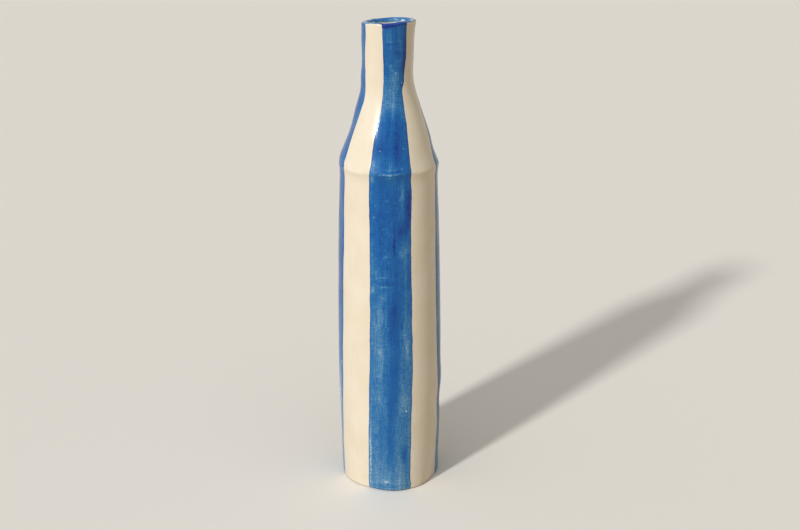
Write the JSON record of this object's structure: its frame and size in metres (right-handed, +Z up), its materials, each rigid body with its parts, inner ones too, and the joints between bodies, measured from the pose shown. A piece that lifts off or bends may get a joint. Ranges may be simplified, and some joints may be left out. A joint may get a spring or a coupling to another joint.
{
  "type": "bottle vase",
  "caption": "Tall hand-built ceramic bottle vase with a conical shoulder, a short neck and broad vertical blue stripes, to stand on a table and hold stems in water.",
  "frame": {"origin": "centre of the flat underside, on the surface that the vase stands on", "axes": "+Z up along the vase's own axis; the front, with the middle of the front stripe, faces -Y; +X to the right as seen from the front"},
  "size_m": [0.0674, 0.0674, 0.3013],
  "materials": {
    "glazed_clay": "gloss",
    "bare_foot_clay": "matte",
    "cobalt_underglaze": "gloss"
  },
  "bodies": {
    "root": {"floor_slab": "bare_foot_clay", "floor_seam_coil": "glazed_clay", "body_wall": "glazed_clay", "shoulder_cone": "glazed_clay", "shoulder_seam_coil": "glazed_clay", "neck_collar": "glazed_clay", "front_stripe": "cobalt_underglaze", "right_stripe": "cobalt_underglaze", "back_stripe": "cobalt_underglaze", "left_stripe": "cobalt_underglaze", "lip_band": "cobalt_underglaze"}
  },
  "joints": []
}
